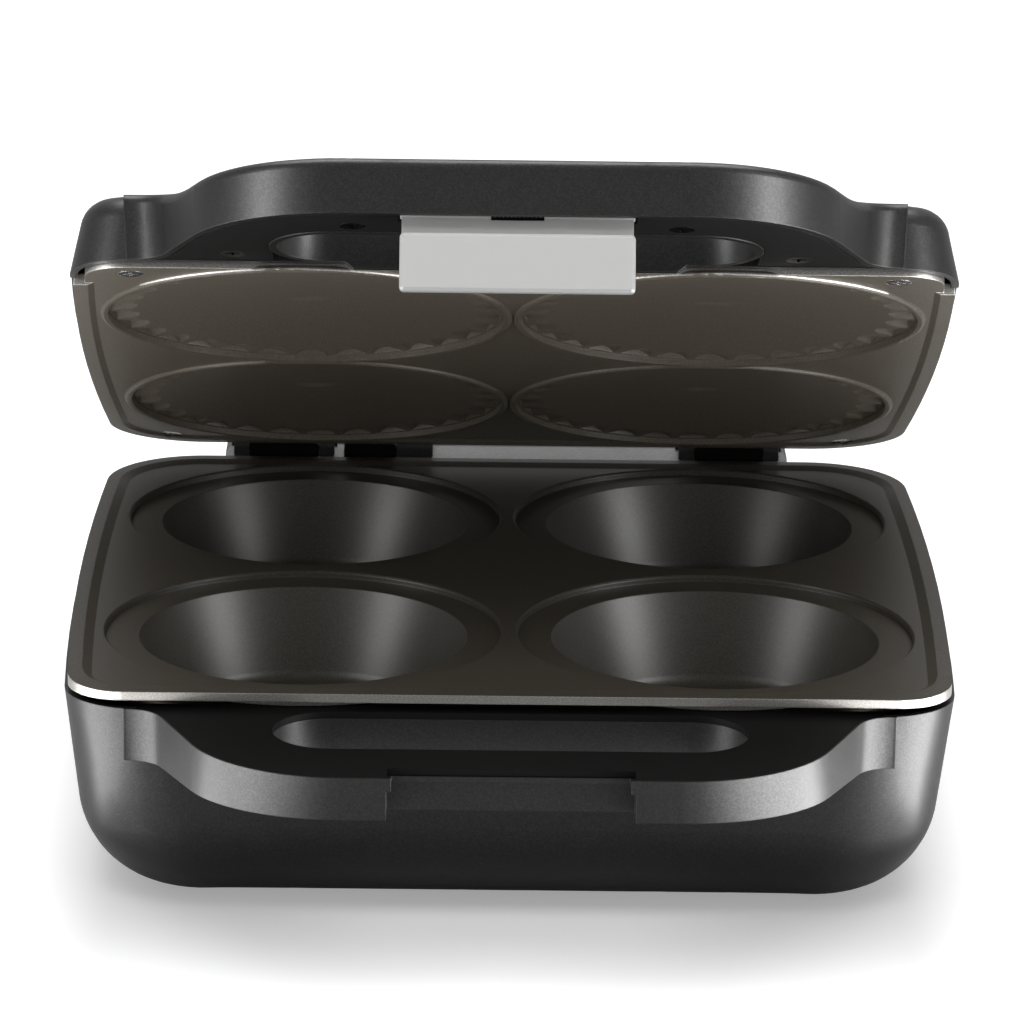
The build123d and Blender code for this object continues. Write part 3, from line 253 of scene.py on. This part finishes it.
tabSet = {  # pale grey, satin
    "colour": "#C8C8C7",
    "grain": 0.4 * mm,  # drawn coarser than the real 0.1 mm, too
    "grainDetail": 2.0,
    "relief": 0.15,
    "reliefHeight": 0.02 * mm,
    "roughness": 0.45,
    "roughnessSpread": 0.05,
    "specular": 0.5,
    "edgeRound": 0.4 * mm,
}


def makeMoulding(name, values):
    # ABS from a spark-eroded mould: one colour right through, under a fine dull grain
    material, tree = newMaterial(name)
    where = addNode(tree, "TexCoord").outputs["Object"]
    grain = addNode(tree, "TexNoise", {
        "Vector": where, "Scale": 1 / values["grain"], "Detail": values["grainDetail"]})
    rough = addNode(tree, "MapRange", {
        "Value": grain, "To Min": values["roughness"] - values["roughnessSpread"],
        "To Max": values["roughness"] + values["roughnessSpread"]})
    edge = addNode(tree, "Bevel", {"Radius": values["edgeRound"]}, samples=4)
    bump = addNode(tree, "Bump", {
        "Strength": values["relief"], "Distance": values["reliefHeight"], "Height": grain, "Normal": edge})
    plastic = addNode(tree, "BsdfPrincipled", {
        "Base Color": linear(values["colour"]), "Roughness": rough,
        "Specular IOR Level": values["specular"], "Normal": bump})
    addNode(tree, "OutputMaterial", {"Surface": plastic})
    return material


dress(makeMoulding("blackMouldedAbs", coverSet), "base_handle_cover", "lid_handle_cover", "bottom_cover")
dress(makeMoulding("paleMouldedAbs", tabSet), "latch_tab")

plateSet = {
    # a pair holds the lower plate's value and the lid's
    # the lid's coat and its light speckle are painted lighter than the lower plate's, though both are one
    # coat: painted light standing in for light on its downturned face
    "coat": ("#36322B", "#6B6459"),
    "coatLight": ("#4F4A42", "#857C6F"),
    "shine": (0.3, 0.16),
    "bareDepth": (20 * mm, 27 * mm),  # upright faces are bare up to this far behind the lower front edge
    "bare": "#8F8D89",
    "bareLight": "#B4B2AE",
    "uprightBelow": 0.4,  # a face is upright where its normal rises less than this
    "speckle": 0.45 * mm,  # real spray droplets are about 0.1 mm, too fine to show
    "speckleSpan": (0.4, 0.7),  # the noise values at which the coat is darkest and lightest
    "relief": 0.35,
    "reliefHeight": 0.03 * mm,
    "roughness": 0.42,
    "edgeRound": 0.5 * mm,
    "frontEdge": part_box("lower_cooking_plate")[0].y,
    "hinge": Vector(lidHinge["pos_m"]),
    "opening": -math.radians(lidHinge["range_deg"][0]),
}


def makePlate(name, values, lid):
    # cast aluminium under a sprayed non-stick coat: dark, slightly warm, finely speckled, bare in front
    material, tree = newMaterial(name)
    where = addNode(tree, "TexCoord")
    place, facing = where.outputs["Object"], where.outputs["Normal"]
    point = place
    limit = values["frontEdge"] + values["bareDepth"][lid]
    if lid:  # the lid stands open, so places and directions on it are first turned shut about the hinge
        shut = {"Rotation": (values["opening"], 0, 0)}
        fromHinge = addNode(tree, "VectorMath", {0: point, 1: values["hinge"]}, operation="SUBTRACT")
        point = addNode(tree, "VectorRotate", {"Vector": fromHinge, **shut}, rotation_type="EULER_XYZ")
        facing = addNode(tree, "VectorRotate", {"Vector": facing, **shut}, rotation_type="EULER_XYZ")
        limit -= values["hinge"].y
    depth = addNode(tree, "SeparateXYZ", {0: point}).outputs[1]
    near = addNode(tree, "Math", {0: depth, 1: limit}, operation="LESS_THAN")
    rise = addNode(tree, "SeparateXYZ", {0: facing}).outputs[2]
    slope = addNode(tree, "Math", {0: rise}, operation="ABSOLUTE")
    upright = addNode(tree, "Math", {0: slope, 1: values["uprightBelow"]}, operation="LESS_THAN")
    isBare = addNode(tree, "Math", {0: near, 1: upright}, operation="MULTIPLY")
    speckle = addNode(tree, "TexNoise", {"Vector": place, "Scale": 1 / values["speckle"], "Detail": 2.0})
    low, high = values["speckleSpan"]
    share = addNode(tree, "MapRange", {"Value": speckle, "From Min": low, "From Max": high})
    # on the lid the coat takes its painted-lighter pair of colours
    coat = addNode(tree, "Mix", {
        0: share, 6: linear(values["coat"][lid]), 7: linear(values["coatLight"][lid])}, data_type="RGBA")
    bare = addNode(tree, "Mix", {
        0: share, 6: linear(values["bare"]), 7: linear(values["bareLight"])}, data_type="RGBA")
    colour = addNode(tree, "Mix", {0: isBare, 6: coat.outputs[2], 7: bare.outputs[2]}, data_type="RGBA")
    edge = addNode(tree, "Bevel", {"Radius": values["edgeRound"]}, samples=4)
    bump = addNode(tree, "Bump", {
        "Strength": values["relief"], "Distance": values["reliefHeight"], "Height": speckle, "Normal": edge})
    shade = addNode(tree, "BsdfPrincipled", {
        "Base Color": colour.outputs[2], "Metallic": isBare, "Roughness": values["roughness"],
        "Specular IOR Level": values["shine"][lid], "Normal": bump})
    addNode(tree, "OutputMaterial", {"Surface": shade})
    return material


dress(makePlate("nonStickAluminium", plateSet, False), "lower_cooking_plate")
dress(makePlate("nonStickAluminiumLidPaintedLighter", plateSet, True), "upper_cooking_plate")
print("shell, covers, tab and plates finished")

smallPartSet = {  # what all the small parts' finishes share
    "darkest": 0.75,  # the darkest tone, as a share of the colour
    "grainDetail": 3.0,
    "roughnessSpread": 0.08,
    "reliefHeight": 0.03 * mm,
    "edgeRound": 0.25 * mm,
}

# each grain is drawn coarser than the real one, which is too fine to show
finishSet = {
    "zincPlatedSteel": {  # cool grey with a soft metal shine
        "colour": "#A8A9A6", "metallic": 1.0, "roughness": 0.34, "grain": 0.8 * mm, "relief": 0.25,
        "parts": ["base_handle_screws", "lower_plate_screws", "lower_reflector_screws",
                  "bottom_cover_screws", "upper_reflector_screws"]},
    "turnedSteel": {  # brighter and smoother, with tight highlights
        "colour": "#B9B9B8", "metallic": 1.0, "roughness": 0.24, "grain": 0.5 * mm, "relief": 0.2,
        "parts": ["upper_plate_screws", "thermal_fuse", "hinge_pins", "lead_sleeve", "latch_pin",
                  "latch_spring"]},
    "blackOxideSteel": {  # near black, still with a metal's glint
        "colour": "#1B1B1C", "metallic": 0.9, "roughness": 0.3, "grain": 0.4 * mm, "relief": 0.3,
        "parts": ["lid_handle_screws"]},
    "annealedSheath": {  # brownish grey, dulled by heat
        "colour": "#4B443C", "metallic": 0.9, "roughness": 0.5, "grain": 0.9 * mm, "relief": 0.6,
        "parts": ["lower_heating_element", "upper_heating_element"]},
    "rolledAluminium": {  # light sheet metal, faintly uneven
        "colour": "#B4B6B8", "metallic": 1.0, "roughness": 0.3, "grain": 1.2 * mm, "relief": 0.3,
        "parts": ["lower_reflector", "upper_reflector", "thermostat"]},
    "whiteNylon": {  # warm white, half matt
        "colour": "#D8D6CE", "metallic": 0.0, "roughness": 0.5, "grain": 0.5 * mm, "relief": 0.15,
        "parts": ["terminal_block", "lamp_holder"]},
    "glassFibreSleeving": {  # cream, dry and rough like cloth
        "colour": "#CFC9BC", "metallic": 0.0, "roughness": 0.85, "grain": 0.6 * mm, "relief": 0.8,
        "parts": ["base_wiring", "lid_wiring"]},
    "blackRubber": {  # black without shine
        "colour": "#161617", "metallic": 0.0, "roughness": 0.8, "grain": 0.5 * mm, "relief": 0.6,
        "parts": ["rubber_feet", "cord_gland"]},
    "turnedBrass": {  # yellow metal, smooth and bright
        "colour": "#B08D4A", "metallic": 1.0, "roughness": 0.28, "grain": 0.5 * mm, "relief": 0.2,
        "parts": ["hinge_bushes"]},
}


def makeFinish(name, values):
    # a mottled colour, uneven roughness and a fine relief, each as strong as the finish asks
    material, tree = newMaterial(name)
    where = addNode(tree, "TexCoord").outputs["Object"]
    grain = addNode(tree, "TexNoise", {
        "Vector": where, "Scale": 1 / values["grain"], "Detail": values["grainDetail"]})
    dark, light = linear(values["colour"], values["darkest"]), linear(values["colour"])
    tone = addNode(tree, "Mix", {0: grain, 6: dark, 7: light}, data_type="RGBA")
    rough = addNode(tree, "MapRange", {
        "Value": grain, "To Min": values["roughness"] - values["roughnessSpread"],
        "To Max": values["roughness"] + values["roughnessSpread"]})
    edge = addNode(tree, "Bevel", {"Radius": values["edgeRound"]}, samples=4)
    bump = addNode(tree, "Bump", {
        "Strength": values["relief"], "Distance": values["reliefHeight"], "Height": grain, "Normal": edge})
    shade = addNode(tree, "BsdfPrincipled", {
        "Base Color": tone.outputs[2], "Metallic": values["metallic"], "Roughness": rough, "Normal": bump})
    addNode(tree, "OutputMaterial", {"Surface": shade})
    return material


for name, values in finishSet.items():
    dress(makeFinish(name, {**smallPartSet, **values}), *values["parts"])

lensSet = {
    "tints": {  # each material's colour and its part
        "redPolycarbonate": ("#B01512", "power_lens"),
        "greenPolycarbonate": ("#1F8A3A", "ready_lens"),
        "neonLampGlass": ("#F2DCC8", "indicator_lamps"),
    },
    "deepest": 0.6,  # the deepest tint, as a share of the colour
    "flow": 2.5 * mm,  # width of the flow marks
    "relief": 0.1,
    "reliefHeight": 0.05 * mm,
    "roughness": 0.12,
    "ior": 1.58,
    "clearness": 0.55,
}


def makeLens(name, colour, values):
    # clear moulded lens: tinted right through, glossy outside, faint flow marks
    material, tree = newMaterial(name)
    where = addNode(tree, "TexCoord").outputs["Object"]
    flow = addNode(tree, "TexNoise", {"Vector": where, "Scale": 1 / values["flow"], "Detail": 1.0})
    deep, clear = linear(colour, values["deepest"]), linear(colour)
    tone = addNode(tree, "Mix", {0: flow, 6: deep, 7: clear}, data_type="RGBA")
    bump = addNode(tree, "Bump", {
        "Strength": values["relief"], "Distance": values["reliefHeight"], "Height": flow})
    shade = addNode(tree, "BsdfPrincipled", {
        "Base Color": tone.outputs[2], "Roughness": values["roughness"], "IOR": values["ior"],
        "Transmission Weight": values["clearness"], "Normal": bump})
    addNode(tree, "OutputMaterial", {"Surface": shade})
    return material


for name, (colour, part) in lensSet["tints"].items():
    dress(makeLens(name, colour, lensSet), part)
print("small parts and lenses finished")
